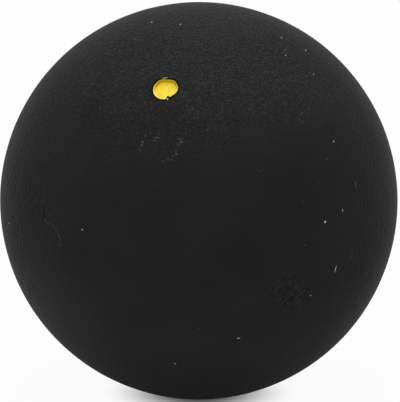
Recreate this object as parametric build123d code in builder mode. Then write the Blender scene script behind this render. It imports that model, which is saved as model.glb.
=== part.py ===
from build123d import *
import os

# Squash ball: two moulded rubber half shells cemented rim to rim into a hollow ball, with one painted dot.
#
# Millimetres, +Z up, origin at the centre of the ball. The front half shell faces -Y and a little upwards,
# so the plane of the seam leans back. A place on the surface is given by its azimuth, counted from the
# front (-Y) towards +X, and its elevation above the XY plane, both in degrees.

# Ball
BALL_DIAMETER = 40.0
SHELL_WALL = 5.0

# Cemented seam: a thin bond line between the two flat rims, and the bead that squeezes out inside.
# Its plane leans back from upright by this angle, as the ball happens to lie
BOND_LINE = 0.2
BEAD_RADIUS = 0.6
SEAM_LEAN = 14.0

# Painted dot: a moulded pit with a coat of paint on its floor and wall
DOT_DIAMETER = 2.5
DOT_PIT_DEPTH = 0.7
DOT_PIT_CORNER = 0.35
DOT_COAT = 0.1
DOT_AZIMUTH = -13.9
DOT_ELEVATION = 46.8

# Witness mark: the faint round groove that the mould leaves below the dot
MARK_DIAMETER = 3.6
MARK_GROOVE_RADIUS = 0.15
MARK_GROOVE_DEPTH = 0.05
MARK_AZIMUTH = -12.0
MARK_ELEVATION = 28.3

ball_radius = BALL_DIAMETER / 2
cavity_radius = ball_radius - SHELL_WALL
dot_radius = DOT_DIAMETER / 2
mark_radius = MARK_DIAMETER / 2


def axis_through(azimuth, elevation):
    """The line from the ball's centre out through one place on its surface."""
    outward = Vector(0, -1, 0).rotate(Axis.X, -elevation).rotate(Axis.Z, azimuth)
    return Axis((0, 0, 0), outward)


def plane_along(axis):
    """A drawing plane through the ball's centre: its y runs out along the axis, its x level to one side."""
    sideways = Vector(0, 0, 1).cross(axis.direction).normalized()
    return Plane((0, 0, 0), x_dir=sideways, z_dir=sideways.cross(axis.direction))


def pit_section(axis, coat):
    """Half the section of the dot's pit with this much paint in it, drawn on past the ball's surface."""
    floor = ball_radius - DOT_PIT_DEPTH + coat
    with BuildSketch(plane_along(axis)) as section:
        with Locations((0, floor)):
            Rectangle(dot_radius - coat, DOT_DIAMETER, align=(Align.MIN, Align.MIN))
        corner = section.vertices().group_by(Axis.Y)[0].sort_by(Axis.X)[-1]
        fillet(corner, DOT_PIT_CORNER - coat)
    return section.sketch


front_axis = axis_through(0, SEAM_LEAN)
dot_axis = axis_through(DOT_AZIMUTH, DOT_ELEVATION)
mark_axis = axis_through(MARK_AZIMUTH, MARK_ELEVATION)

# The two rims: each lies half the bond line from the plane of the seam, which is square to the front axis
seam_plane = Plane((0, 0, 0), x_dir=(1, 0, 0), z_dir=front_axis.direction)
front_rim = seam_plane.offset(BOND_LINE / 2)
rear_rim = seam_plane.offset(-BOND_LINE / 2)

# Turns a sphere's poles from Z onto the front axis, so that its own edge crosses the rims squarely
poles_to_front = (90 - SEAM_LEAN, 0, 0)

# Rear half shell: a plain moulded cup with a flat rim
with BuildPart() as rear_half_shell:
    Sphere(ball_radius, rotation=poles_to_front)
    Sphere(cavity_radius, rotation=poles_to_front, mode=Mode.SUBTRACT)
    split(bisect_by=rear_rim, keep=Keep.BOTTOM)

# Front half shell: the same cup, with the dot's pit and the witness mark
with BuildPart() as front_half_shell:
    Sphere(ball_radius, rotation=poles_to_front)
    Sphere(cavity_radius, rotation=poles_to_front, mode=Mode.SUBTRACT)
    split(bisect_by=front_rim, keep=Keep.TOP)
    revolve(pit_section(dot_axis, 0), axis=dot_axis, mode=Mode.SUBTRACT)
    with BuildSketch(plane_along(mark_axis)):
        mark_height = (ball_radius**2 - mark_radius**2) ** 0.5
        with Locations((mark_radius, mark_height + MARK_GROOVE_RADIUS - MARK_GROOVE_DEPTH)):
            Circle(MARK_GROOVE_RADIUS)
    revolve(axis=mark_axis, mode=Mode.SUBTRACT)

# Seam cement: the cured ring between the rims, drawn on past the ball and trimmed by what it bonds
with BuildPart() as seam_cement:
    with BuildSketch(plane_along(front_axis)):
        with Locations((cavity_radius, 0)):
            Rectangle(2 * SHELL_WALL, BOND_LINE, align=(Align.MIN, Align.CENTER))
            Circle(BEAD_RADIUS)
    revolve(axis=front_axis)
    Sphere(ball_radius, rotation=poles_to_front, mode=Mode.INTERSECT)
    add(rear_half_shell.part, mode=Mode.SUBTRACT)
    add(front_half_shell.part, mode=Mode.SUBTRACT)

# Yellow dot: the coat of paint that lines the pit, up to the ball's surface
with BuildPart() as yellow_dot:
    revolve(pit_section(dot_axis, 0), axis=dot_axis)
    revolve(pit_section(dot_axis, DOT_COAT), axis=dot_axis, mode=Mode.SUBTRACT)
    Sphere(ball_radius, rotation=poles_to_front, mode=Mode.INTERSECT)

pieces = {
    "rear_half_shell": rear_half_shell,
    "front_half_shell": front_half_shell,
    "seam_cement": seam_cement,
    "yellow_dot": yellow_dot,
}
os.makedirs("parts", exist_ok=True)
for name, piece in pieces.items():
    piece.part.label = name
    export_step(piece.part, f"parts/{name}.step")
    print(f"{name}: {piece.part.volume:.3f} mm3")
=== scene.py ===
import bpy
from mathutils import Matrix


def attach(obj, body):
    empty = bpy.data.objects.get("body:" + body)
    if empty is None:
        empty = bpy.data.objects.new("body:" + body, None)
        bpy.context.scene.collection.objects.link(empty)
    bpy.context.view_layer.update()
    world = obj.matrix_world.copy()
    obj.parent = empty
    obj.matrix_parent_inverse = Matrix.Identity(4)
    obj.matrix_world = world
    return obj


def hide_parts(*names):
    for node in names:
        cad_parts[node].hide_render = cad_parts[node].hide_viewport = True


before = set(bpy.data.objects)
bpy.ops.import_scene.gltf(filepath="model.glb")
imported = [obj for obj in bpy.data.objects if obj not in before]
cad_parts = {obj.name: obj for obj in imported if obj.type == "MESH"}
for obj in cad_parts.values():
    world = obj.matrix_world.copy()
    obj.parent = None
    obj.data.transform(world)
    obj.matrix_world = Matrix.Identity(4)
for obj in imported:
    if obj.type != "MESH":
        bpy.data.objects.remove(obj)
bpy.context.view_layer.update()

from collections import namedtuple
from math import asin, atan, atanh, ceil, cos, log, pi, radians, sin, sqrt, tan, tanh

import bmesh
import bpy
import numpy as np
from bpy.props import FloatProperty, FloatVectorProperty, IntProperty, PointerProperty
from mathutils import Matrix, Vector, noise

bl_info = {
    "name": "Squash Ball",
    "version": (1, 0, 0),
    "blender": (4, 5, 0),
    "location": "View3D > Sidebar > Squash Ball",
    "description": "Dresses the squash ball: buffed rubber halves, cemented seam and painted dot",
    "category": "Object",
}

MM = 0.001
BODY = "root"
RUBBER = "matt_buffed_rubber"
UP = Vector((0, 0, 1))


def corners_of(node):
    """The corners of a node of the construction model, one row of x, y and z each."""
    return np.array([corner.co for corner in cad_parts[node].data.vertices])


# Sizes that the construction model fixes. The pit's floor and edge are heights above the ball's centre
SEAM_CORNERS = corners_of("seam_cement")
REAR_CORNERS = corners_of("rear_half_shell")
DOT_CORNERS = corners_of("yellow_dot")
BALL_RADIUS = float(np.linalg.norm(SEAM_CORNERS, axis=1).max())
CAVITY_RADIUS = float(np.linalg.norm(REAR_CORNERS, axis=1).min())
DOT_AXIS = Vector(DOT_CORNERS.mean(axis=0)).normalized()
DOT_SIDEWAYS = UP.cross(DOT_AXIS).normalized()
DOT_UPWARDS = DOT_AXIS.cross(DOT_SIDEWAYS)
DOT_RADIUS = max(Vector(corner).cross(DOT_AXIS).length for corner in DOT_CORNERS)
PIT_FLOOR = float((DOT_CORNERS @ DOT_AXIS).min())
PIT_EDGE = sqrt(BALL_RADIUS**2 - DOT_RADIUS**2)

# The front half faces square to the seam: along the direction in which the seam's ring is thinnest
THINNEST = Vector(np.linalg.eigh(SEAM_CORNERS.T @ SEAM_CORNERS)[1][:, 0])
FRONT = THINNEST if THINNEST.dot(DOT_AXIS) > 0 else -THINNEST
RIGHT = UP.cross(FRONT).normalized()

# Axes of the two halves, one row each: to the right, to the rear, and up along the seam
HALVES = np.array([RIGHT, -FRONT, FRONT.cross(RIGHT)])

# How far each rim lies from the plane of the seam, and the radius of the bead of cement inside
RIM_OFFSET = -float((REAR_CORNERS @ FRONT).max())
BEAD_RADIUS = float((SEAM_CORNERS @ FRONT).max())

# Rings of points on each skin from its pole to its rim
REAR_RINGS = 90
REAR_INSIDE_RINGS = 30
FRONT_INSIDE_RINGS = 40

# Rings round the dot's lip: how many get painted shade in full, which is the first that gets none, and
# over how many the dot's uneven outline runs out into the round ball
FULL_SHADE_RINGS = 2
FIRST_UNSHADED_RING = 7
RUN_OUT_RINGS = 12

# Faces that meet at more than this stay sharp, as at the rims
SHARP_ANGLE = radians(50)

# The photograph's frame, in pixels, and the camera's sensor
IMAGE_WIDTH = 400
IMAGE_HEIGHT = 402
SENSOR_MM = 36.0

# Where something starts to show, and where it shows in full
Ramp = namedtuple("Ramp", "start full")

# The floor is plainly lit where the ball stands and turns white further out: how far out, in ball radii,
# for the eye and for reflections, and the share of white that it ends at
WHITE_SEEN = Ramp(0.1, 0.5)
WHITE_MIRRORED = Ramp(0.2, 1.8)
WHITE_SHARE = 0.94

# A fleck on the surface: its azimuth from the front (-Y) towards +X and its elevation above level, in
# degrees, its length and width, in millimetres, and how far its length turns from level, in degrees
Fleck = namedtuple("Fleck", "azimuth elevation length width turn")

# Lint and the brightest specks of dust. The last eight lie on the rear half, in the manner of the front
LINT = (
    Fleck(38.2, 5.1, 0.24, 0.22, 0),
    Fleck(42.8, -9.5, 0.72, 0.08, 80),
    Fleck(12.8, -28.7, 0.36, 0.10, 2),
    Fleck(-34.7, 3.4, 0.14, 0.14, 0),
    Fleck(47.6, 26.7, 0.22, 0.12, 40),
    Fleck(45.2, 7.2, 0.34, 0.06, 110),
    Fleck(49.7, 55.9, 0.15, 0.12, 0),
    Fleck(53.4, 57.8, 0.11, 0.09, 0),
    Fleck(62.5, 62.5, 0.18, 0.12, 0),
    Fleck(56.5, 47.3, 0.15, 0.12, 0),
    Fleck(68.0, 55.2, 0.20, 0.16, 20),
    Fleck(34.8, -16.4, 0.12, 0.10, 0),
    Fleck(-8.6, -39.5, 0.18, 0.12, 60),
    Fleck(-70.8, -1.9, 0.20, 0.14, 90),
    Fleck(-19.5, 74.2, 0.18, 0.14, 0),
    Fleck(-52.8, 72.9, 0.20, 0.16, 30),
    Fleck(118, 31, 0.20, 0.14, 20),
    Fleck(133, -4, 0.16, 0.12, 0),
    Fleck(149, 47, 0.60, 0.07, 35),
    Fleck(163, 12, 0.22, 0.18, 0),
    Fleck(-174, 33, 0.18, 0.12, 60),
    Fleck(-152, -13, 0.42, 0.08, -20),
    Fleck(-131, 41, 0.16, 0.14, 0),
    Fleck(-119, 6, 0.20, 0.14, 80),
)

# Paint that ran onto the rubber beside the dot
PAINT_FLECKS = (
    Fleck(-12.1, 43.4, 0.16, 0.12, 90),
    Fleck(-15.0, 50.4, 0.62, 0.055, 12),
)

# Grains of dust, dimmer than lint. The first fifteen lie in the groove of the mould's round mark
GRAINS = (
    Fleck(-17.8, 31.8, 0.22, 0.20, 0),
    Fleck(-18.3, 29.9, 0.30, 0.14, 70),
    Fleck(-18.5, 29.0, 0.20, 0.16, 0),
    Fleck(-18.7, 27.5, 0.24, 0.20, 80),
    Fleck(-14.0, 31.4, 0.75, 0.12, 4),
    Fleck(-14.3, 30.6, 0.50, 0.08, 0),
    Fleck(-5.9, 31.3, 0.45, 0.12, 10),
    Fleck(-5.8, 30.5, 0.40, 0.10, 16),
    Fleck(-6.2, 29.6, 0.30, 0.14, 20),
    Fleck(-7.2, 27.8, 0.34, 0.16, 80),
    Fleck(-7.0, 27.0, 0.26, 0.24, 0),
    Fleck(-8.0, 26.3, 0.30, 0.14, -60),
    Fleck(-8.4, 25.3, 0.22, 0.18, 0),
    Fleck(-9.5, 25.4, 0.26, 0.14, 30),
    Fleck(-10.9, 24.8, 0.34, 0.10, 6),
    Fleck(2.9, 34.2, 0.20, 0.16, 0),
    Fleck(9.0, 34.1, 0.18, 0.14, 0),
    Fleck(18.4, 21.5, 0.20, 0.18, 0),
    Fleck(42.8, 22.2, 0.24, 0.14, 60),
    Fleck(52.3, 13.3, 0.70, 0.30, 90),
    Fleck(27.5, -42.6, 0.24, 0.16, 0),
    Fleck(6.9, 66.9, 0.24, 0.16, 0),
    Fleck(-45.3, 63.9, 0.22, 0.16, 0),
    Fleck(38.7, 36.6, 0.30, 0.14, 80),
    Fleck(36.8, 34.8, 0.22, 0.16, 0),
    Fleck(37.8, 33.9, 0.20, 0.16, 0),
    Fleck(43.0, 37.4, 0.20, 0.14, 0),
    Fleck(45.6, 33.1, 0.22, 0.14, 0),
    Fleck(31.0, 11.8, 0.20, 0.16, 0),
)

# The curved scuff where the ball brushed along something
SCUFF = (
    Fleck(-47.9, 3.3, 1.10, 0.26, -8),
    Fleck(-45.1, 2.4, 1.26, 0.20, -43),
    Fleck(-43.1, 0.1, 1.15, 0.24, -63),
    Fleck(-43.0, -2.2, 0.70, 0.20, 58),
)

# Patches where the buffing wheel left its strokes, which run along the length of each
BUFFED_PATCHES = (
    Fleck(27.4, -15.0, 5.0, 7.6, 58),
    Fleck(-51.4, 5.8, 3.8, 5.0, 100),
    Fleck(156, 9, 5.4, 7.0, 30),
)

# The strokes fade towards the edge of their patch, from this share of its reach
STROKES_FADE = 0.3

# Where a pattern, which runs from 0 to 1, starts to be each of these, and where it is one in full
PALE_CLOUD = Ramp(0.35, 0.65)
TUFT = Ramp(0.42, 0.68)
NAP_CREST = Ramp(0.3, 0.7)
STROKE_CREST = Ramp(0.52, 0.66)
STROKE_HOLLOW = Ramp(0.48, 0.34)
THIN_PAINT = Ramp(0.47, 0.75)

# Shares of the bloom's colour as painted highlight on the crests of strokes, and in nap that is worn
# smooth.
# In coarse nap a tuft's own share is multiplied by the other two, in the nap's hollows and on its crests
STROKE_HIGHLIGHT_SHARE = 0.4
SMOOTH_BLOOM = 0.2
HOLLOW_HOLDS = 0.6
CREST_HOLDS = 1.4

# Shares of the dust's colour in dust that is dimmer than lint, the least share of a grain that shows
# between the tufts of the nap, and the share of the specks' places that are empty
SPECK_SHARE = 0.12
GRAIN_SHARE = 0.2
SCUFF_SHARE = 0.1
LEAST_CAUGHT = 0.35
SPECKS_EMPTY = 0.5

# How far the edge of a fleck is bitten in, and how far it fades, as shares of half its size
FLECK_BITTEN = 0.8
FLECK_FADE = 0.6

# A patch of painted light, which is painted shade where the share is below zero: where it lies, in
# degrees, how far it reaches, in millimetres, and the share of the bloom's colour that it adds
Patch = namedtuple("Patch", "azimuth elevation reach share")
PAINTED_LIGHT_PATCHES = (
    Patch(-34, 38, 12, -0.13),
    Patch(-49, -24, 9, 0.20),
    Patch(2, -34, 14, 0.07),
    Patch(-4, 71, 10, 0.09),
)

# The dot's edge lies a little inside its circle and waves: how often round the dot, how far, as a share
# of its radius, and where each wave starts, in radians
DOT_REACH = 0.97
Wave = namedtuple("Wave", "count height start")
DOT_WAVES = (
    Wave(3, 0.010, 0.6),
    Wave(5, 0.008, 2.0),
    Wave(9, 0.005, 0.0),
)

# A dent in the dot's edge: where it is, from level round the dot's middle, and half its width, in
# degrees, how far it cuts in, as a share of the dot's radius, and how steep its sides are
Dent = namedtuple("Dent", "turn width reach steepness")
DOT_DENTS = (
    Dent(-50, 32, 0.10, 2),
    Dent(88, 17, 0.09, 2),
    Dent(-66, 7.5, 0.20, 4),
)

# The painted wall of the pit, above the paint's floor, and the wall's upper side, with painted shade, and
# lower side, with a painted highlight, above the dot's middle, in millimetres
PAINT_WALL = Ramp(0.01, 0.12)
SHADED_SIDE = Ramp(-0.2, 0.7)
HIGHLIT_SIDE = Ramp(0.1, -0.7)

# Share of the thin paint's colour in the paint's thin patches
THIN_SHARE = 0.35


def linear(hex_code):
    """The linear colour, with full alpha, that an sRGB hex code stands for."""
    channels = [int(hex_code[i:i + 2], 16) / 255 for i in (0, 2, 4)]
    return [c / 12.92 if c <= 0.04045 else ((c + 0.055) / 1.055) ** 2.4 for c in channels] + [1.0]


def colour(name, description, hex_code):
    """A colour property whose default is given as an sRGB hex code."""
    return FloatVectorProperty(
        name=name, description=description, default=linear(hex_code),
        size=4, subtype="COLOR", min=0, max=1,
    )


def length(name, description, default_mm):
    """A length property in metres whose default is given in millimetres."""
    return FloatProperty(
        name=name, description=description, default=default_mm * MM, unit="LENGTH", precision=6, min=0
    )


def angle(name, description, default_degrees):
    """An angle property in radians whose default is given in degrees."""
    return FloatProperty(
        name=name, description=description, default=radians(default_degrees), subtype="ANGLE"
    )


class BallShape(bpy.types.PropertyGroup):
    """Sizes of the surface forms that dress the ball."""

    swell_height: length("Swell height", "How far the buffed surface wanders from a true ball", 0.02)
    swell_width: length("Swell width", "Distance from one swell of the surface to the next", 6.0)
    pit_corner: length("Pit corner", "Radius between the dot's pit floor and its wall", 0.35)
    pit_lip: length("Pit lip", "Radius of the rounded edge of the dot's pit", 0.08)
    coat: length("Paint coat", "Thickness of the paint on the wall of the dot's pit", 0.1)
    paint_pool: length("Paint pool", "How much thicker the paint lies on the pit's floor", 0.15)
    paint_dish: length("Paint dish", "Radius between the paint's floor and its wall", 0.25)
    paint_below: length("Paint below", "How far the paint's edge stays below the ball's surface", 0.01)
    seam_groove: length("Seam groove", "How far the seam's cement lies below the rubber", 0.03)
    mark_azimuth: angle("Mark azimuth", "Place of the mould's round mark, from the front to +X", -12.0)
    mark_elevation: angle("Mark elevation", "Place of the mould's round mark, above level", 28.3)
    mark_radius: length("Mark radius", "Radius of the mould's round mark", 1.8)
    mark_depth: length("Mark depth", "Depth of the groove of the mould's round mark", 0.02)
    mark_width: length("Mark width", "Width of the groove of the mould's round mark", 0.24)
    segments: IntProperty(
        name="Segments", description="Points round each ring of the ball's skin", default=320, min=32
    )


class BallFinish(bpy.types.PropertyGroup):
    """Colours of the ball's materials, and sizes of their patterns.

    The real grain, nap and buffing strokes are finer than a pixel of the render, so they are drawn as
    coarse as they need to show."""

    rubber_dark: colour("Rubber, dark", "Buffed rubber in its darker clouds", "202020")
    rubber_pale: colour("Rubber, pale", "Buffed rubber in its paler clouds", "232323")
    # Painted shade: darker rubber in the hollows between the buffing strokes
    rubber_stroke_shade: colour("Rubber, scored", "Rubber in the hollows between buffing strokes", "141414")
    # Painted shade: darker, browner rubber in the dot's pit and round its lip
    rubber_lip_shade: colour("Rubber, bare", "Rubber that was never buffed, at the dot's lip", "1C1610")
    # Pale bloom in the nap, also painted light on top, painted sheen at the sides and painted highlights
    pale_bloom_and_light: colour("Bloom", "Fine pale dust in the nap, most of it on the upper side", "3A3A3A")
    dust: colour("Dust", "Specks of dust and lint on the rubber", "C4C2BE")
    cement: colour("Cement", "Cured rubber cement at the seam", "221F1C")
    paint: colour("Paint", "Paint of the dot", "FFE63E")
    # Thin paint in patches, and painted shade on the pit's upper wall
    paint_thin_and_shaded: colour("Paint, thin", "Paint where it lies thin, as on the pit's upper wall", "BC9E00")
    # Painted highlight: paler paint on the pit's lower wall, which faces the light
    paint_highlight: colour("Paint, worn", "Paint on the pit's lower wall, polished by play", "FFF29A")
    grain_width: length("Grain width", "Width of the grain in the buffed rubber", 0.19)
    grain_height: length("Grain height", "Height of the grain in the buffed rubber", 0.018)
    nap_width: length("Nap width", "Width of the tufts that buffing raises", 0.45)
    nap_height: length("Nap height", "Height of the tufts that buffing raises", 0.13)
    cloud_width: length("Cloud width", "Width of the darker and paler clouds in the rubber", 6.0)
    stroke_length: length("Stroke length", "Length of the buffing wheel's strokes", 0.7)
    stroke_spacing: length("Stroke spacing", "Distance from one of the wheel's strokes to the next", 0.25)
    speck_spacing: length("Speck spacing", "Distance from one speck of fine dust to the next", 1.5)
    speck_radius: length("Speck radius", "Radius of the largest specks of fine dust", 0.09)
    fleck_bite: length("Fleck bite", "Width of the bites in the ragged edge of a fleck", 0.1)
    lump_width: length("Lump width", "Width of the lumps in the cured cement", 0.5)
    lump_height: length("Lump height", "Height of the lumps in the cured cement", 0.02)
    paint_patch: length("Paint patch", "Width of the thin patches in the paint", 0.5)
    paint_ripple: length("Paint ripple", "Height of the ripples in the paint", 0.03)


class StageLook(bpy.types.PropertyGroup):
    """Camera, lamp, tent and floor."""

    camera_elevation: angle("Camera elevation", "Height of the camera above the horizon", 14.0)
    camera_distance: length("Camera distance", "From the camera to the middle of the ball", 500.0)
    picture_radius: FloatProperty(
        name="Picture radius", description="Radius of the ball in the picture",
        default=198.77, subtype="PIXEL",
    )
    picture_left: FloatProperty(
        name="Picture left", description="How far the ball lies left of the picture's middle",
        default=1.17, subtype="PIXEL",
    )
    picture_up: FloatProperty(
        name="Picture up", description="How far the ball lies above the picture's middle",
        default=0.27, subtype="PIXEL",
    )
    tent_strength: FloatProperty(
        name="Tent strength", description="Light from the white tent all round", default=0.66, min=0
    )
    key_strength: FloatProperty(
        name="Key strength", description="Brightness of the soft lamp overhead", default=1.68, min=0
    )
    key_size: length("Key size", "Width of the soft lamp overhead", 600.0)
    key_place: FloatVectorProperty(
        name="Key place", description="Where the soft lamp hangs, from the middle of the ball",
        default=(-0.03, -0.05, 0.6), subtype="TRANSLATION", unit="LENGTH",
    )
    floor_colour: colour("Floor", "Plain pale floor", "FAFAFA")
    floor_radius: length("Floor radius", "From the middle of the floor to its edge", 1500.0)


class BallSettings(bpy.types.PropertyGroup):
    """All settings of the squash ball."""

    shape: PointerProperty(type=BallShape)
    finish: PointerProperty(type=BallFinish)
    stage: PointerProperty(type=StageLook)


# Meshes

def show(mesh, material, node):
    """Show a finished mesh as the piece that stands for a node of the construction model."""
    made = bpy.data.objects.new(mesh.name, mesh)
    bpy.context.scene.collection.objects.link(made)
    mesh.materials.append(material)
    mesh.shade_smooth()
    mesh.set_sharp_from_angle(angle=SHARP_ANGLE)
    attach(made, BODY)
    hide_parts(node)


def closed_mesh(name, points, faces):
    """A mesh of these points and faces with its normals turned outwards."""
    mesh = bpy.data.meshes.new(name)
    mesh.from_pydata(points, [], faces)
    shaped = bmesh.new()
    shaped.from_mesh(mesh)
    bmesh.ops.recalc_face_normals(shaped, faces=shaped.faces)
    shaped.to_mesh(mesh)
    shaped.free()
    return mesh


def polar_mesh(name, first_pole, rings, last_pole):
    """A closed skin that runs from one pole over these rings of points to the other pole."""
    around = len(rings[0])
    points = [first_pole, *(point for ring in rings for point in ring), last_pole]
    last = len(points) - 1
    faces = []
    for spoke in range(around):
        after = (spoke + 1) % around
        faces.append((0, 1 + after, 1 + spoke))
        faces.append((last, last - around + spoke, last - around + after))
        for row in range(len(rings) - 1):
            near = 1 + row * around
            far = near + around
            faces.append((near + spoke, near + after, far + after, far + spoke))
    return closed_mesh(name, points, faces)


def ring_mesh(name, section, around):
    """A closed ring round the front axis, from a section of (radius, distance to the rear) points."""
    points = []
    faces = []
    count = len(section)
    for step in range(around):
        turn = 2 * pi * step / around
        for radius, rear in section:
            points.append(HALVES.T @ (radius * cos(turn), rear, radius * sin(turn)))
        here = step * count
        ahead = (step + 1) % around * count
        for corner in range(count):
            after = (corner + 1) % count
            faces.append((here + corner, here + after, ahead + after, ahead + corner))
    return closed_mesh(name, points, faces)


def direction(azimuth, elevation):
    """The unit vector at an azimuth from the front (-Y) towards +X and an elevation above level."""
    return Vector((sin(azimuth) * cos(elevation), -cos(azimuth) * cos(elevation), sin(elevation)))


def turns_round(count):
    """This many even steps once round a circle, as complex numbers."""
    return np.exp(2j * pi * np.arange(count) / count)


def rim_scale(radius):
    """How far out the rim lies when a half ball of this radius is laid flat from the far pole."""
    return sqrt((radius - RIM_OFFSET) / (radius + RIM_OFFSET))


def roll_up(flat, facing):
    """Directions of points of a half ball laid flat: facing is -1 for the front half, 1 for the rear."""
    square = np.abs(flat) ** 2
    upright = np.stack([2 * flat.real, facing * (1 - square), 2 * flat.imag], axis=1)
    return upright @ HALVES / (1 + square)[:, None]


class DotGrid:
    """Rings round the dot that widen, always as circles, until the last one is the rim of the half ball.

    Laid flat from the far pole, the half ball is a disc. One map of that disc onto itself, which keeps
    circles round, carries its middle to the dot."""

    def __init__(self, segments):
        right, rear, up = HALVES @ DOT_AXIS
        flat = complex(right, up) / (1 - rear)
        tilt = 2 * atan(abs(flat))
        spread = asin(DOT_RADIUS / BALL_RADIUS)
        scale = rim_scale(BALL_RADIUS)
        near = atanh(tan((tilt - spread) / 2) / scale)
        far = atanh(tan((tilt + spread) / 2) / scale)
        self.centre = tanh((near + far) / 2) * flat / abs(flat)
        self.dot_ring = tanh((far - near) / 2)
        self.turns = turns_round(segments)

    def ring(self, size, radius=BALL_RADIUS):
        """Directions of one ring: size 0 is the dot, 1 is the rim, and each point may have its own."""
        inner = size * self.turns
        carried = (inner + self.centre) / (1 + np.conj(self.centre) * inner)
        return roll_up(rim_scale(radius) * carried, -1)


def swell(at, shape):
    """Height of the buffed surface above a true ball here: wide swells with finer, lower ones on them."""
    finer = 2.7
    lower = 0.4
    elsewhere = Vector((7, 3, 5))
    wide = Vector(at) * (BALL_RADIUS / shape.swell_width)
    fine = wide * finer + elsewhere
    return shape.swell_height * (noise.noise(wide) + lower * noise.noise(fine)) / (1 + lower)


def mark_groove(at, shape, axis):
    """Depth of the groove of the mould's round mark at this direction."""
    off = Vector(at).angle(axis) * BALL_RADIUS - shape.mark_radius
    return shape.mark_depth * np.exp(-((2 * off / shape.mark_width) ** 2))


def dot_frame(ring):
    """Unit vectors that point away from the dot's axis at each point of a ring round it."""
    axis = np.array(DOT_AXIS)
    away = ring - (ring @ axis)[:, None] * axis
    return away / np.linalg.norm(away, axis=1)[:, None]


def dot_outline(away):
    """The dot's uneven outline: its reach in each direction, as a share of its circle's radius."""
    turn = np.arctan2(away @ np.array(DOT_UPWARDS), away @ np.array(DOT_SIDEWAYS))
    outline = np.full(len(turn), DOT_REACH)
    for wave in DOT_WAVES:
        outline += wave.height * np.sin(wave.count * turn + wave.start)
    for dent in DOT_DENTS:
        off = np.abs(turn - radians(dent.turn)) / radians(dent.width)
        outline -= dent.reach * np.exp(-(off**dent.steepness))
    return outline


def arc(centre, radius, start, stop, steps):
    """Points on an arc of a section, as (distance from the axis, height). The angles are in degrees."""
    turns = [radians(start + (stop - start) * step / steps) for step in range(steps + 1)]
    return [(centre[0] + radius * cos(turn), centre[1] + radius * sin(turn)) for turn in turns]


def level_run(reach, height, steps):
    """Points on a level stretch of a section, from beside the axis to just short of this reach."""
    return [(reach * step / steps, height) for step in range(1, steps)]


def pit_profile(shape):
    """The rubber's section from the middle of the dot's pit to where its lip runs out into the ball."""
    corner = (DOT_RADIUS - shape.pit_corner, PIT_FLOOR + shape.pit_corner)
    lip = (DOT_RADIUS + shape.pit_lip, PIT_EDGE - shape.pit_lip)
    profile = level_run(corner[0], PIT_FLOOR, steps=5)
    profile += arc(corner, shape.pit_corner, -90, 0, steps=6)
    profile += arc(lip, shape.pit_lip, 180, 90, steps=5)
    return profile


def paint_floor(shape):
    """Height of the paint on the floor of the dot's pit."""
    return PIT_FLOOR + shape.coat + shape.paint_pool


def coat_profile(shape):
    """The paint's section from the middle of the dot to its edge on the pit's wall, and back below.

    Below, it reaches a little into the rubber, so that no gap shows between the two."""
    floor = paint_floor(shape)
    wall = DOT_RADIUS - shape.coat
    corner = (wall - shape.paint_dish, floor + shape.paint_dish)
    wall_lean = 8
    roll = shape.coat / 2
    edge = PIT_EDGE - shape.paint_below
    top = level_run(corner[0], floor, steps=8)
    top += arc(corner, shape.paint_dish, -90, -wall_lean, steps=8)
    top += arc((wall + roll, edge - roll), roll, 180, 0, steps=8)
    under = [(DOT_RADIUS + shape.coat / 8, floor), (corner[0], PIT_FLOOR - shape.coat / 5)]
    return top, under


def pit_rings(profile, away, outline):
    """Rings of points for a section round the dot's axis."""
    axis = np.array(DOT_AXIS)
    return [height * axis + (reach * outline)[:, None] * away for reach, height in profile]


def buffed_rings(grid, outline, lip, shape):
    """Rings of the front half's outside, from the dot's lip to the rim, and the painted shade that each
    gets.

    They grow at a steady rate, which keeps their faces square."""
    mark = direction(shape.mark_azimuth, shape.mark_elevation)
    steps = ceil(log(1 / lip) * shape.segments / (2 * pi))
    rings = []
    shade = []
    for step in range(1, steps + 1):
        size = lip ** (1 - step / steps)
        rounded = min(1.0, (step - 1) / RUN_OUT_RINGS)
        ring = []
        for at in grid.ring(size * (rounded + (1 - rounded) * outline)):
            height = rounded * (swell(at, shape) - mark_groove(at, shape, mark))
            ring.append(Vector(at) * (BALL_RADIUS + height))
        rings.append(ring)
        shade.append(np.clip((FIRST_UNSHADED_RING - step) / (FIRST_UNSHADED_RING - FULL_SHADE_RINGS), 0, 1))
    return rings, shade


def front_half_mesh(shape):
    """The front half's skin: the dot's pit, the buffed outside, the rim and the inside."""
    grid = DotGrid(shape.segments)
    away = dot_frame(grid.ring(grid.dot_ring))
    outline = dot_outline(away)
    profile = pit_profile(shape)
    lip = grid.dot_ring * profile[-1][0] / DOT_RADIUS
    pit = pit_rings(profile, away, outline)
    outside, shade = buffed_rings(grid, outline, lip, shape)
    sizes = [1 - step / FRONT_INSIDE_RINGS for step in range(FRONT_INSIDE_RINGS)]
    inside = [grid.ring(size, CAVITY_RADIUS) * CAVITY_RADIUS for size in sizes]
    last = Vector(grid.ring(0, CAVITY_RADIUS)[0]) * CAVITY_RADIUS
    mesh = polar_mesh("front_half_buffed", DOT_AXIS * PIT_FLOOR, pit + outside + inside, last)

    # The pit and the first rings round its lip get painted shade, point by point, in the rubber's colour
    by_ring = [1.0] * len(pit) + shade + [0.0] * len(inside)
    by_point = np.concatenate([[1.0], np.repeat(by_ring, shape.segments), [0.0]])
    mesh.attributes.new("lip_shade", "FLOAT", "POINT").data.foreach_set("value", by_point)
    return mesh


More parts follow.
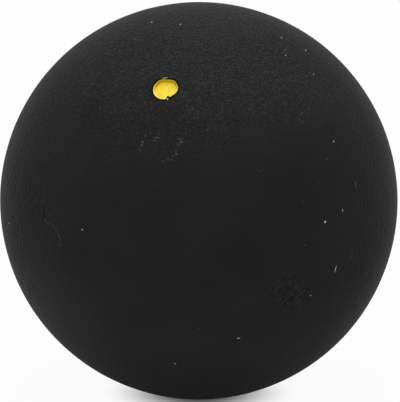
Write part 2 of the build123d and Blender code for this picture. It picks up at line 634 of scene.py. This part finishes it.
def rear_half_mesh(shape):
    """The rear half's skin: the buffed outside, the rim and the inside."""
    turns = turns_round(shape.segments)
    rings = []
    for step in range(1, REAR_RINGS + 1):
        outside = roll_up(rim_scale(BALL_RADIUS) * turns * step / REAR_RINGS, 1)
        rings.append([Vector(at) * (BALL_RADIUS + swell(at, shape)) for at in outside])
    for step in range(REAR_INSIDE_RINGS, 0, -1):
        inside = roll_up(rim_scale(CAVITY_RADIUS) * turns * step / REAR_INSIDE_RINGS, 1)
        rings.append(inside * CAVITY_RADIUS)
    return polar_mesh("rear_half_buffed", -FRONT * BALL_RADIUS, rings, -FRONT * CAVITY_RADIUS)


def seam_mesh(shape):
    """The cement's ring: a shallow groove at the outside, and the squeezed-out bead inside."""
    outer = BALL_RADIUS - shape.seam_groove
    deepest = outer - shape.seam_groove / 2
    clear_of_wall = 5.73
    section = [(outer, -RIM_OFFSET), (deepest, 0), (outer, RIM_OFFSET), (CAVITY_RADIUS, RIM_OFFSET)]
    section += arc((CAVITY_RADIUS, 0), BEAD_RADIUS, 90 + clear_of_wall, 270 - clear_of_wall, steps=8)
    section.append((CAVITY_RADIUS, -RIM_OFFSET))
    return ring_mesh("seam_cement_ring", section, shape.segments)


def dot_mesh(shape):
    """The paint's coat in the pit, with a rounded edge on the wall."""
    grid = DotGrid(shape.segments // 2)
    away = dot_frame(grid.ring(grid.dot_ring))
    top, under = coat_profile(shape)
    rings = pit_rings(top + under, away, dot_outline(away))
    return polar_mesh("yellow_dot_paint", DOT_AXIS * top[0][1], rings, DOT_AXIS * under[-1][1])


# Materials

def add_node(tree, kind, inputs=None, **settings):
    """Add a node with these settings. An input is a value to set or another node's output to link.

    Inputs go by name, or by number where two of a node's sockets share a name."""
    made = tree.nodes.new(kind)
    for name, value in settings.items():
        setattr(made, name, value)
    for socket, value in (inputs or {}).items():
        if isinstance(value, bpy.types.NodeSocket):
            tree.links.new(value, made.inputs[socket])
        else:
            made.inputs[socket].default_value = value
    return made


def new_material(name):
    """An empty node material and its tree."""
    material = bpy.data.materials.new(name)
    material.use_nodes = True
    tree = material.node_tree
    tree.nodes.clear()
    return material, tree


def laid_flat(tree, place, fleck):
    """Coordinates that lie flat on the ball at a fleck and run from -1 to 1 along it and across it."""
    out = direction(radians(fleck.azimuth), radians(fleck.elevation))
    along = Matrix.Rotation(radians(fleck.turn), 3, out) @ UP.cross(out).normalized()
    turned = Matrix((along, out.cross(along), out)).transposed()
    return add_node(tree, "ShaderNodeMapping", {
        "Vector": place, "Location": out * BALL_RADIUS, "Rotation": turned.to_euler(),
        "Scale": (fleck.length * MM / 2, fleck.width * MM / 2, fleck.length * MM),
    }, vector_type="TEXTURE").outputs["Vector"]


def away_from(tree, place, azimuth, elevation, stretch=(1, 1, 1)):
    """Distance from one place on the ball, which reaches this many times further along each axis."""
    near = add_node(tree, "ShaderNodeMapping", {
        "Vector": place, "Location": direction(radians(azimuth), radians(elevation)) * BALL_RADIUS,
        "Scale": stretch,
    }, vector_type="TEXTURE").outputs["Vector"]
    return add_node(tree, "ShaderNodeVectorMath", {0: near}, operation="LENGTH").outputs["Value"]


def fleck_mask(tree, place, finish, flecks):
    """1 on these flecks and 0 elsewhere: each is a ragged ellipse that lies flat on the ball."""
    ragged = add_node(tree, "ShaderNodeTexNoise", {
        "Vector": place, "Scale": 1 / finish.fleck_bite, "Detail": 2.0,
    }).outputs["Fac"]
    mask = 0.0
    for fleck in flecks:
        flat = laid_flat(tree, place, fleck)
        reach = add_node(tree, "ShaderNodeVectorMath", {0: flat}, operation="LENGTH").outputs["Value"]
        worn = add_node(tree, "ShaderNodeMath", {
            0: ragged, 1: FLECK_BITTEN, 2: reach,
        }, operation="MULTIPLY_ADD").outputs["Value"]
        inside = add_node(tree, "ShaderNodeMapRange", {
            "Value": worn, "From Min": 1.0 + FLECK_FADE, "From Max": 1.0,
        }).outputs["Result"]
        mask = add_node(tree, "ShaderNodeMath", {
            0: mask, 1: inside,
        }, operation="MAXIMUM").outputs["Value"]
    return mask


def painted_side_sheen(tree, place):
    """Painted sheen: little in front, where the camera looks, and all of it round the sides and behind."""
    sheen_in_front = 0.05
    away = away_from(tree, place, azimuth=20, elevation=-6, stretch=(1.4, 1, 1))
    return add_node(tree, "ShaderNodeMapRange", {
        "Value": away, "From Min": 6 * MM, "From Max": 20 * MM, "To Min": sheen_in_front, "To Max": 1.0,
    }, interpolation_type="SMOOTHSTEP").outputs["Result"]


def painted_top_light(tree, place):
    """Painted light from above: most on top, and little below."""
    lowest = -0.3 * BALL_RADIUS
    highest = 0.9 * BALL_RADIUS
    least = 0.3
    height = add_node(tree, "ShaderNodeSeparateXYZ", {"Vector": place}).outputs["Z"]
    return add_node(tree, "ShaderNodeMapRange", {
        "Value": height, "From Min": lowest, "From Max": highest, "To Min": least, "To Max": 1.0,
    }, interpolation_type="SMOOTHSTEP").outputs["Result"]


def coarse_nap(tree, place):
    """How coarse the nap is: full round the dot and on the rear half, and worn down by play elsewhere."""
    worn_down = 0.3
    away = away_from(tree, place, azimuth=0, elevation=62)
    dotted = add_node(tree, "ShaderNodeMapRange", {
        "Value": away, "From Min": 9 * MM, "From Max": 16 * MM, "To Min": 1.0, "To Max": worn_down,
    }, interpolation_type="SMOOTHSTEP").outputs["Result"]
    ahead = add_node(tree, "ShaderNodeVectorMath", {
        0: place, 1: FRONT,
    }, operation="DOT_PRODUCT").outputs["Value"]
    behind = add_node(tree, "ShaderNodeMapRange", {
        "Value": ahead, "From Min": -1 * MM, "From Max": -10 * MM, "To Min": worn_down, "To Max": 1.0,
    }, interpolation_type="SMOOTHSTEP").outputs["Result"]
    return add_node(tree, "ShaderNodeMath", {0: dotted, 1: behind}, operation="MAXIMUM").outputs["Value"]


def scattered_specks(tree, place, finish):
    """Fine dust all over: faint pale points of differing size."""
    cells = add_node(tree, "ShaderNodeTexVoronoi", {
        "Vector": place, "Scale": 1 / finish.speck_spacing,
    }).outputs
    draw = add_node(tree, "ShaderNodeSeparateColor", {"Color": cells["Color"]}).outputs["Red"]
    largest = finish.speck_radius / finish.speck_spacing
    size = add_node(tree, "ShaderNodeMapRange", {
        "Value": draw, "From Min": SPECKS_EMPTY, "From Max": 1.0, "To Min": 0.0, "To Max": largest,
    }).outputs["Result"]
    inside = add_node(tree, "ShaderNodeMath", {
        0: cells["Distance"], 1: size,
    }, operation="LESS_THAN").outputs["Value"]
    faint = add_node(tree, "ShaderNodeMath", {
        0: draw, 1: SPECK_SHARE,
    }, operation="MULTIPLY").outputs["Value"]
    return add_node(tree, "ShaderNodeMath", {0: inside, 1: faint}, operation="MULTIPLY").outputs["Value"]


def buffing_strokes(tree, place, finish):
    """Two masks in the buffed patches: painted highlight on the strokes' crests and painted shade between
    them.
    """
    masks = [0.0, 0.0]
    for patch in BUFFED_PATCHES:
        flat = laid_flat(tree, place, patch)
        reach = add_node(tree, "ShaderNodeVectorMath", {0: flat}, operation="LENGTH").outputs["Value"]
        inside = add_node(tree, "ShaderNodeMapRange", {
            "Value": reach, "From Min": 1.0, "From Max": STROKES_FADE,
        }).outputs["Result"]
        along = patch.length * MM / 2 / finish.stroke_length
        across = patch.width * MM / 2 / finish.stroke_spacing
        drawn = add_node(tree, "ShaderNodeVectorMath", {
            0: flat, 1: (along, across, 1),
        }, operation="MULTIPLY").outputs["Vector"]
        strokes = add_node(tree, "ShaderNodeTexNoise", {
            "Vector": drawn, "Scale": 1.0, "Detail": 1.0,
        }).outputs["Fac"]
        for side, ramp in enumerate((STROKE_CREST, STROKE_HOLLOW)):
            lines = add_node(tree, "ShaderNodeMapRange", {
                "Value": strokes, "From Min": ramp.start, "From Max": ramp.full,
            }).outputs["Result"]
            shown = add_node(tree, "ShaderNodeMath", {
                0: inside, 1: lines,
            }, operation="MULTIPLY").outputs["Value"]
            masks[side] = add_node(tree, "ShaderNodeMath", {
                0: masks[side], 1: shown,
            }, operation="MAXIMUM").outputs["Value"]
    return masks


def bloom_and_painted_light(tree, place, tufts, nap, crests):
    """Share of the pale colour: the nap's, as painted light and sheen, the strokes' crests and a few
    patches.
    """
    uneven = add_node(tree, "ShaderNodeMapRange", {
        "Value": nap, "From Min": NAP_CREST.start, "From Max": NAP_CREST.full,
        "To Min": HOLLOW_HOLDS, "To Max": CREST_HOLDS,
    }).outputs["Result"]
    tufted = add_node(tree, "ShaderNodeMath", {
        0: tufts, 1: uneven,
    }, operation="MULTIPLY").outputs["Value"]
    held = add_node(tree, "ShaderNodeMix", {
        "Factor": coarse_nap(tree, place), "A": SMOOTH_BLOOM, "B": tufted,
    }, data_type="FLOAT").outputs["Result"]
    # Painted light and sheen: more on top and round the sides, little below and where the camera looks
    left = add_node(tree, "ShaderNodeMath", {
        0: painted_side_sheen(tree, place), 1: painted_top_light(tree, place),
    }, operation="MULTIPLY").outputs["Value"]
    lit_bloom = add_node(tree, "ShaderNodeMath", {0: left, 1: held}, operation="MULTIPLY").outputs["Value"]
    # Painted highlight in the bloom's colour on the crests of the buffing strokes
    share = add_node(tree, "ShaderNodeMath", {
        0: crests, 1: STROKE_HIGHLIGHT_SHARE, 2: lit_bloom,
    }, operation="MULTIPLY_ADD").outputs["Value"]
    # Patches of painted light, and of painted shade where the share is below zero
    for patch in PAINTED_LIGHT_PATCHES:
        away = away_from(tree, place, patch.azimuth, patch.elevation)
        inside = add_node(tree, "ShaderNodeMapRange", {
            "Value": away, "From Min": patch.reach * MM, "From Max": 0.0,
        }, interpolation_type="SMOOTHSTEP").outputs["Result"]
        share = add_node(tree, "ShaderNodeMath", {
            0: inside, 1: patch.share, 2: share,
        }, operation="MULTIPLY_ADD").outputs["Value"]
    return share


def coarse_dust(tree, place, finish, tufts):
    """Share of the dust's colour: lint, specks, and dimmer grains and a scuff that the nap breaks up."""
    share = add_node(tree, "ShaderNodeMath", {
        0: fleck_mask(tree, place, finish, LINT), 1: scattered_specks(tree, place, finish),
    }, operation="MAXIMUM").outputs["Value"]
    caught = add_node(tree, "ShaderNodeMath", {
        0: tufts, 1: LEAST_CAUGHT,
    }, operation="MAXIMUM").outputs["Value"]
    for flecks, held_by, brightness in ((GRAINS, caught, GRAIN_SHARE), (SCUFF, tufts, SCUFF_SHARE)):
        held = add_node(tree, "ShaderNodeMath", {
            0: fleck_mask(tree, place, finish, flecks), 1: held_by,
        }, operation="MULTIPLY").outputs["Value"]
        dimmed = add_node(tree, "ShaderNodeMath", {
            0: held, 1: brightness,
        }, operation="MULTIPLY").outputs["Value"]
        share = add_node(tree, "ShaderNodeMath", {
            0: share, 1: dimmed,
        }, operation="MAXIMUM").outputs["Value"]
    return share


def buffed_rubber(finish):
    """Filled rubber, compression moulded and buffed: dull, near black, finely grained and a little dusty.

    The nap scatters almost all of the gloss that rubber's IOR of about 1.5 would give."""
    material, tree = new_material(RUBBER)
    place = add_node(tree, "ShaderNodeTexCoord").outputs["Object"]
    grain = add_node(tree, "ShaderNodeTexNoise", {
        "Vector": place, "Scale": 1 / finish.grain_width, "Detail": 3.0, "Roughness": 0.6,
    }).outputs["Fac"]
    nap = add_node(tree, "ShaderNodeTexNoise", {
        "Vector": place, "Scale": 1 / finish.nap_width, "Detail": 2.0, "Roughness": 0.5,
    }).outputs["Fac"]
    cloud = add_node(tree, "ShaderNodeTexNoise", {
        "Vector": place, "Scale": 1 / finish.cloud_width, "Detail": 4.0, "Roughness": 0.6,
    }).outputs["Fac"]
    tone = add_node(tree, "ShaderNodeMapRange", {
        "Value": cloud, "From Min": PALE_CLOUD.start, "From Max": PALE_CLOUD.full,
    }).outputs["Result"]
    tufts = add_node(tree, "ShaderNodeMapRange", {
        "Value": grain, "From Min": TUFT.start, "From Max": TUFT.full,
    }).outputs["Result"]
    crests, hollows = buffing_strokes(tree, place, finish)
    lip_shade = add_node(tree, "ShaderNodeAttribute", attribute_name="lip_shade").outputs["Fac"]

    # From the clean rubber up, each layer covers its share of what lies below
    layers = (
        (tone, finish.rubber_pale),
        # Pale bloom in the nap, with painted light, sheen and highlights
        (bloom_and_painted_light(tree, place, tufts, nap, crests), finish.pale_bloom_and_light),
        # Painted shade in the hollows between the buffing strokes
        (hollows, finish.rubber_stroke_shade),
        # Painted shade in the dot's pit and round its lip
        (lip_shade, finish.rubber_lip_shade),
        (coarse_dust(tree, place, finish, tufts), finish.dust),
        (fleck_mask(tree, place, finish, PAINT_FLECKS), finish.paint),
    )
    skin = finish.rubber_dark
    for share, layer in layers:
        skin = add_node(tree, "ShaderNodeMix", {
            "Factor": share, "A": skin, "B": layer,
        }, data_type="RGBA").outputs["Result"]

    grained = add_node(tree, "ShaderNodeMath", {
        0: grain, 1: finish.grain_height,
    }, operation="MULTIPLY").outputs["Value"]
    relief = add_node(tree, "ShaderNodeMath", {
        0: nap, 1: finish.nap_height, 2: grained,
    }, operation="MULTIPLY_ADD").outputs["Value"]
    bump = add_node(tree, "ShaderNodeBump", {"Height": relief, "Distance": 1.0}).outputs["Normal"]
    shader = add_node(tree, "ShaderNodeBsdfPrincipled", {
        "Base Color": skin, "Roughness": 0.62, "Specular IOR Level": 0.02,
        "Sheen Weight": 0.03, "Sheen Roughness": 0.3, "Normal": bump,
    }).outputs["BSDF"]
    add_node(tree, "ShaderNodeOutputMaterial", {"Surface": shader})
    return material


def rubber(settings):
    """The one rubber material that both halves share."""
    return bpy.data.materials.get(RUBBER) or buffed_rubber(settings.finish)


def rubber_cement(finish):
    """Cured rubber cement, wiped off: a thin sunken line, browner and smoother than the rubber."""
    material, tree = new_material("cured_rubber_cement")
    place = add_node(tree, "ShaderNodeTexCoord").outputs["Object"]
    lumps = add_node(tree, "ShaderNodeTexNoise", {
        "Vector": place, "Scale": 1 / finish.lump_width, "Detail": 2.0,
    }).outputs["Fac"]
    bump = add_node(tree, "ShaderNodeBump", {
        "Height": lumps, "Distance": finish.lump_height,
    }).outputs["Normal"]
    shader = add_node(tree, "ShaderNodeBsdfPrincipled", {
        "Base Color": finish.cement, "Roughness": 0.5, "Specular IOR Level": 0.1, "Normal": bump,
    }).outputs["BSDF"]
    add_node(tree, "ShaderNodeOutputMaterial", {"Surface": shader})
    return material


def wall_shade_and_highlight(tree, place, shape):
    """Two masks on the dot's pit wall: painted shade on its upper side, a painted highlight on its lower
    side.
    """
    height = add_node(tree, "ShaderNodeVectorMath", {
        0: place, 1: DOT_AXIS,
    }, operation="DOT_PRODUCT").outputs["Value"]
    floor = paint_floor(shape)
    wall = add_node(tree, "ShaderNodeMapRange", {
        "Value": height,
        "From Min": floor + PAINT_WALL.start * MM, "From Max": floor + PAINT_WALL.full * MM,
    }).outputs["Result"]
    rise = add_node(tree, "ShaderNodeVectorMath", {
        0: place, 1: DOT_UPWARDS,
    }, operation="DOT_PRODUCT").outputs["Value"]
    masks = []
    for ramp in (SHADED_SIDE, HIGHLIT_SIDE):
        side = add_node(tree, "ShaderNodeMapRange", {
            "Value": rise, "From Min": ramp.start * MM, "From Max": ramp.full * MM,
        }).outputs["Result"]
        masks.append(add_node(tree, "ShaderNodeMath", {
            0: wall, 1: side,
        }, operation="MULTIPLY").outputs["Value"])
    return masks


def dot_paint(finish, shape):
    """Thick flexible paint, stamped into the pit: bright, a little uneven, with a soft gloss.

    Painted shade darkens the upper side of the pit's wall, and a painted highlight pales the lower side."""
    material, tree = new_material("flexible_dot_paint")
    place = add_node(tree, "ShaderNodeTexCoord").outputs["Object"]
    patches = add_node(tree, "ShaderNodeTexNoise", {
        "Vector": place, "Scale": 1 / finish.paint_patch, "Detail": 3.0,
    }).outputs["Fac"]
    thin = add_node(tree, "ShaderNodeMapRange", {
        "Value": patches, "From Min": THIN_PAINT.start, "From Max": THIN_PAINT.full,
        "To Min": 0.0, "To Max": THIN_SHARE,
    }).outputs["Result"]
    # Painted shade on the pit's upper wall, and a painted highlight on its lower wall
    upper, lower = wall_shade_and_highlight(tree, place, shape)
    thin_and_shaded = add_node(tree, "ShaderNodeMath", {0: thin, 1: upper}, operation="MAXIMUM").outputs["Value"]
    yellow = finish.paint
    for share, layer in ((thin_and_shaded, finish.paint_thin_and_shaded), (lower, finish.paint_highlight)):
        yellow = add_node(tree, "ShaderNodeMix", {
            "Factor": share, "A": yellow, "B": layer,
        }, data_type="RGBA").outputs["Result"]
    bump = add_node(tree, "ShaderNodeBump", {
        "Height": patches, "Distance": finish.paint_ripple,
    }).outputs["Normal"]
    shader = add_node(tree, "ShaderNodeBsdfPrincipled", {
        "Base Color": yellow, "Roughness": 0.5, "Specular IOR Level": 0.25, "Normal": bump,
    }).outputs["BSDF"]
    add_node(tree, "ShaderNodeOutputMaterial", {"Surface": shader})
    return material


# Stage

def sight_rays(tree):
    """Two masks: 1 for rays from the camera, and 1 for rays that show in a reflection or through glass."""
    path = add_node(tree, "ShaderNodeLightPath").outputs
    mirrored = add_node(tree, "ShaderNodeMath", {
        0: path["Is Glossy Ray"], 1: path["Is Transmission Ray"],
    }, operation="MAXIMUM").outputs["Value"]
    return path["Is Camera Ray"], mirrored


def tent_world(stage):
    """A white tent all round: white where it is seen, and at the tent's own strength as a light."""
    world = bpy.data.worlds.new("white_tent")
    world.use_nodes = True
    tree = world.node_tree
    tree.nodes.clear()
    seen, mirrored = sight_rays(tree)
    either = add_node(tree, "ShaderNodeMath", {
        0: seen, 1: mirrored,
    }, operation="MAXIMUM").outputs["Value"]
    strength = add_node(tree, "ShaderNodeMix", {
        "Factor": either, "A": stage.tent_strength, "B": 1.0,
    }, data_type="FLOAT").outputs["Result"]
    background = add_node(tree, "ShaderNodeBackground", {
        "Color": (1, 1, 1, 1), "Strength": strength,
    }).outputs["Background"]
    add_node(tree, "ShaderNodeOutputWorld", {"Surface": background})
    bpy.context.scene.world = world


def floor_material(stage):
    """Matt pale floor that keeps the ball's shadow: plainly lit under the ball, and white further out.

    The white begins close to the ball for the eye, and further out for reflections, so that the ball's
    underside mirrors the shaded floor that it stands on."""
    material, tree = new_material("pale_floor")
    place = add_node(tree, "ShaderNodeTexCoord").outputs["Object"]
    level = add_node(tree, "ShaderNodeVectorMath", {
        0: place, 1: (1, 1, 0),
    }, operation="MULTIPLY").outputs["Vector"]
    away = add_node(tree, "ShaderNodeVectorMath", {0: level}, operation="LENGTH").outputs["Value"]
    share = 0.0
    for rays, ramp in zip(sight_rays(tree), (WHITE_SEEN, WHITE_MIRRORED)):
        white = add_node(tree, "ShaderNodeMapRange", {
            "Value": away, "From Min": ramp.start * BALL_RADIUS, "From Max": ramp.full * BALL_RADIUS,
            "To Min": 0.0, "To Max": WHITE_SHARE,
        }, interpolation_type="SMOOTHSTEP").outputs["Result"]
        share = add_node(tree, "ShaderNodeMath", {
            0: rays, 1: white, 2: share,
        }, operation="MULTIPLY_ADD").outputs["Value"]
    matt = add_node(tree, "ShaderNodeBsdfDiffuse", {"Color": stage.floor_colour}).outputs["BSDF"]
    glow = add_node(tree, "ShaderNodeEmission", {
        "Color": (1, 1, 1, 1), "Strength": 1.0,
    }).outputs["Emission"]
    shader = add_node(tree, "ShaderNodeMixShader", {0: share, 1: matt, 2: glow}).outputs["Shader"]
    add_node(tree, "ShaderNodeOutputMaterial", {"Surface": shader})
    return material


def build_floor(stage):
    """A round pale floor that the ball stands on."""
    mesh = bpy.data.meshes.new("floor")
    shaped = bmesh.new()
    bmesh.ops.create_circle(shaped, cap_ends=True, segments=96, radius=stage.floor_radius)
    bmesh.ops.translate(shaped, verts=shaped.verts, vec=(0, 0, -BALL_RADIUS))
    shaped.to_mesh(mesh)
    shaped.free()
    mesh.materials.append(floor_material(stage))
    floor = bpy.data.objects.new("floor", mesh)
    bpy.context.scene.collection.objects.link(floor)


def build_key_lamp(stage):
    """A large soft lamp overhead. Its power is its brightness times pi times its area."""
    lamp = bpy.data.lights.new("overhead_lamp", "AREA")
    lamp.shape = "DISK"
    lamp.size = stage.key_size
    lamp.energy = stage.key_strength * pi * pi * (stage.key_size / 2) ** 2
    made = bpy.data.objects.new("overhead_lamp", lamp)
    made.location = stage.key_place
    bpy.context.scene.collection.objects.link(made)


def build_camera(stage):
    """A long lens at the photograph's height, framed so that the ball fills the picture as there."""
    camera = bpy.data.cameras.new("camera")
    longest = max(IMAGE_WIDTH, IMAGE_HEIGHT)
    reach = tan(asin(BALL_RADIUS / stage.camera_distance))
    camera.sensor_width = SENSOR_MM
    camera.lens = stage.picture_radius / reach * SENSOR_MM / longest
    camera.shift_x = stage.picture_left / longest
    camera.shift_y = -stage.picture_up / longest
    camera.clip_start = 0.01
    camera.clip_end = 10
    made = bpy.data.objects.new("camera", camera)
    aim = direction(0, stage.camera_elevation)
    made.location = aim * stage.camera_distance
    made.rotation_euler = (-aim).to_track_quat("-Z", "Y").to_euler()
    bpy.context.scene.collection.objects.link(made)
    bpy.context.scene.camera = made


# Operators

class SQUASHBALL_OT_front_half(bpy.types.Operator):
    """Build the front half of the ball, with the dot's pit"""

    bl_idname = "squash_ball.front_half"
    bl_label = "Front half"

    def execute(self, context):
        settings = context.scene.squash_ball
        show(front_half_mesh(settings.shape), rubber(settings), "front_half_shell")
        return {"FINISHED"}


class SQUASHBALL_OT_rear_half(bpy.types.Operator):
    """Build the rear half of the ball"""

    bl_idname = "squash_ball.rear_half"
    bl_label = "Rear half"

    def execute(self, context):
        settings = context.scene.squash_ball
        show(rear_half_mesh(settings.shape), rubber(settings), "rear_half_shell")
        return {"FINISHED"}


class SQUASHBALL_OT_seam(bpy.types.Operator):
    """Build the ring of cement between the halves"""

    bl_idname = "squash_ball.seam"
    bl_label = "Seam cement"

    def execute(self, context):
        settings = context.scene.squash_ball
        show(seam_mesh(settings.shape), rubber_cement(settings.finish), "seam_cement")
        return {"FINISHED"}


class SQUASHBALL_OT_dot(bpy.types.Operator):
    """Build the coat of paint in the dot's pit"""

    bl_idname = "squash_ball.dot"
    bl_label = "Yellow dot"

    def execute(self, context):
        settings = context.scene.squash_ball
        paint = dot_paint(settings.finish, settings.shape)
        show(dot_mesh(settings.shape), paint, "yellow_dot")
        return {"FINISHED"}


class SQUASHBALL_OT_stage(bpy.types.Operator):
    """Build the tent, the floor, the lamp and the camera"""

    bl_idname = "squash_ball.stage"
    bl_label = "Stage"

    def execute(self, context):
        stage = context.scene.squash_ball.stage
        tent_world(stage)
        build_floor(stage)
        build_key_lamp(stage)
        build_camera(stage)
        context.scene.view_settings.view_transform = "Standard"
        return {"FINISHED"}


class VIEW3D_PT_squash_ball(bpy.types.Panel):
    """Settings and build steps of the squash ball"""

    bl_label = "Squash Ball"
    bl_space_type = "VIEW_3D"
    bl_region_type = "UI"
    bl_category = "Squash Ball"

    def draw(self, context):
        settings = context.scene.squash_ball
        for group in (settings.shape, settings.finish, settings.stage):
            box = self.layout.box()
            for name in group.__annotations__:
                box.prop(group, name)
        for step in STEPS:
            self.layout.operator(step.bl_idname)


STEPS = (
    SQUASHBALL_OT_front_half,
    SQUASHBALL_OT_rear_half,
    SQUASHBALL_OT_seam,
    SQUASHBALL_OT_dot,
    SQUASHBALL_OT_stage,
)
CLASSES = (BallShape, BallFinish, StageLook, BallSettings, *STEPS, VIEW3D_PT_squash_ball)


def register():
    """Add the classes to Blender, and the settings to its scenes."""
    for each in CLASSES:
        bpy.utils.register_class(each)
    bpy.types.Scene.squash_ball = PointerProperty(type=BallSettings)


def unregister():
    """Take the settings and the classes away again."""
    del bpy.types.Scene.squash_ball
    for each in reversed(CLASSES):
        bpy.utils.unregister_class(each)


def main():
    """Build the ball and its stage."""
    register()
    bpy.ops.squash_ball.front_half()
    bpy.ops.squash_ball.rear_half()
    bpy.ops.squash_ball.seam()
    bpy.ops.squash_ball.dot()
    bpy.ops.squash_ball.stage()


if __name__ == "__main__":
    main()
